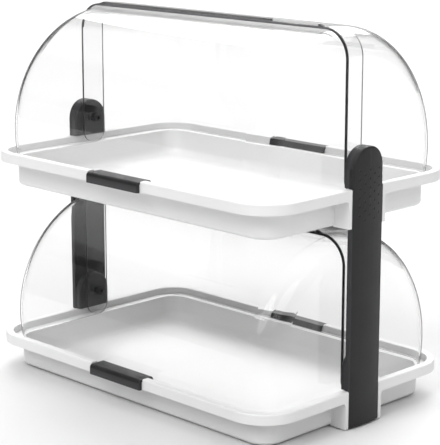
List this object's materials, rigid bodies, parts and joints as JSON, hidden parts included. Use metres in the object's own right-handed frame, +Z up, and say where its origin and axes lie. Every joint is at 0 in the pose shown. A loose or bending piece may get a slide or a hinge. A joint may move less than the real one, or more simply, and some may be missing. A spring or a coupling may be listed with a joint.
{
  "type": "countertop bread display bin",
  "caption": "Bread display bin with stacked white trays between dark side posts, each tray under a clear roll-top dome that opens from the front and the back.",
  "frame": {"origin": "centre of the footprint on the counter, under the feet", "axes": "+X along the length from post to post, +Y to the back, +Z up"},
  "size_m": [0.557, 0.3744, 0.5164],
  "materials": {
    "white_plastic": "satin moulded plastic",
    "charcoal_plastic": "satin moulded plastic",
    "clear_plastic": "clear polished sheet",
    "nylon": "black moulded nylon",
    "steel": "plain steel",
    "black_steel": "black powder-coated steel",
    "rubber": "matt rubber"
  },
  "bodies": {
    "frame": {"lower_tray": "white_plastic", "upper_tray": "white_plastic", "rubber_feet": "rubber", "left_post_shell": "charcoal_plastic", "left_post_spine": "black_steel", "right_post_shell": "charcoal_plastic", "right_post_spine": "black_steel", "left_lower_block_dowels": "steel", "left_lower_pivot_block": "charcoal_plastic", "left_lower_pivot_nut": "steel", "left_lower_pivot_pin": "nylon", "left_lower_sleeve_screws": "steel", "right_lower_block_dowels": "steel", "right_lower_pivot_block": "charcoal_plastic", "right_lower_pivot_nut": "steel", "right_lower_pivot_pin": "nylon", "right_lower_sleeve_screws": "steel", "left_upper_block_dowels": "steel", "left_upper_pivot_block": "charcoal_plastic", "left_upper_pivot_nut": "steel", "left_upper_pivot_pin": "nylon", "left_upper_sleeve_screws": "steel", "right_upper_block_dowels": "steel", "right_upper_pivot_block": "charcoal_plastic", "right_upper_pivot_nut": "steel", "right_upper_pivot_pin": "nylon", "right_upper_sleeve_screws": "steel"},
    "lower_rear": {"lower_rear_cover": "clear_plastic", "lower_rear_grip": "charcoal_plastic"},
    "lower_front": {"lower_front_cover": "clear_plastic", "lower_front_grip": "charcoal_plastic"},
    "left_lower_ring": {"left_lower_spacer_ring": "nylon"},
    "right_lower_ring": {"right_lower_spacer_ring": "nylon"},
    "upper_rear": {"upper_rear_cover": "clear_plastic", "upper_rear_grip": "charcoal_plastic"},
    "upper_front": {"upper_front_cover": "clear_plastic", "upper_front_grip": "charcoal_plastic"},
    "left_upper_ring": {"left_upper_spacer_ring": "nylon"},
    "right_upper_ring": {"right_upper_spacer_ring": "nylon"}
  },
  "joints": [
    {"name": "lower_rear_swing", "type": "hinge", "parent": "frame", "child": "lower_rear", "pos_m": [0, 0, 0.0785], "axis": [1, 0, 0], "range_deg": [0, 88]},
    {"name": "lower_front_swing", "type": "hinge", "parent": "frame", "child": "lower_front", "pos_m": [0, 0, 0.0785], "axis": [1, 0, 0], "range_deg": [-88, 0]},
    {"name": "left_lower_ring_spin", "type": "hinge", "parent": "frame", "child": "left_lower_ring", "pos_m": [-0.25, 0, 0.0785], "axis": [1, 0, 0], "continuous": true},
    {"name": "right_lower_ring_spin", "type": "hinge", "parent": "frame", "child": "right_lower_ring", "pos_m": [0.25, 0, 0.0785], "axis": [1, 0, 0], "continuous": true},
    {"name": "upper_rear_swing", "type": "hinge", "parent": "frame", "child": "upper_rear", "pos_m": [0, 0, 0.3425], "axis": [1, 0, 0], "range_deg": [0, 88]},
    {"name": "upper_front_swing", "type": "hinge", "parent": "frame", "child": "upper_front", "pos_m": [0, 0, 0.3425], "axis": [1, 0, 0], "range_deg": [-88, 0]},
    {"name": "left_upper_ring_spin", "type": "hinge", "parent": "frame", "child": "left_upper_ring", "pos_m": [-0.25, 0, 0.3425], "axis": [1, 0, 0], "continuous": true},
    {"name": "right_upper_ring_spin", "type": "hinge", "parent": "frame", "child": "right_upper_ring", "pos_m": [0.25, 0, 0.3425], "axis": [1, 0, 0], "continuous": true}
  ]
}
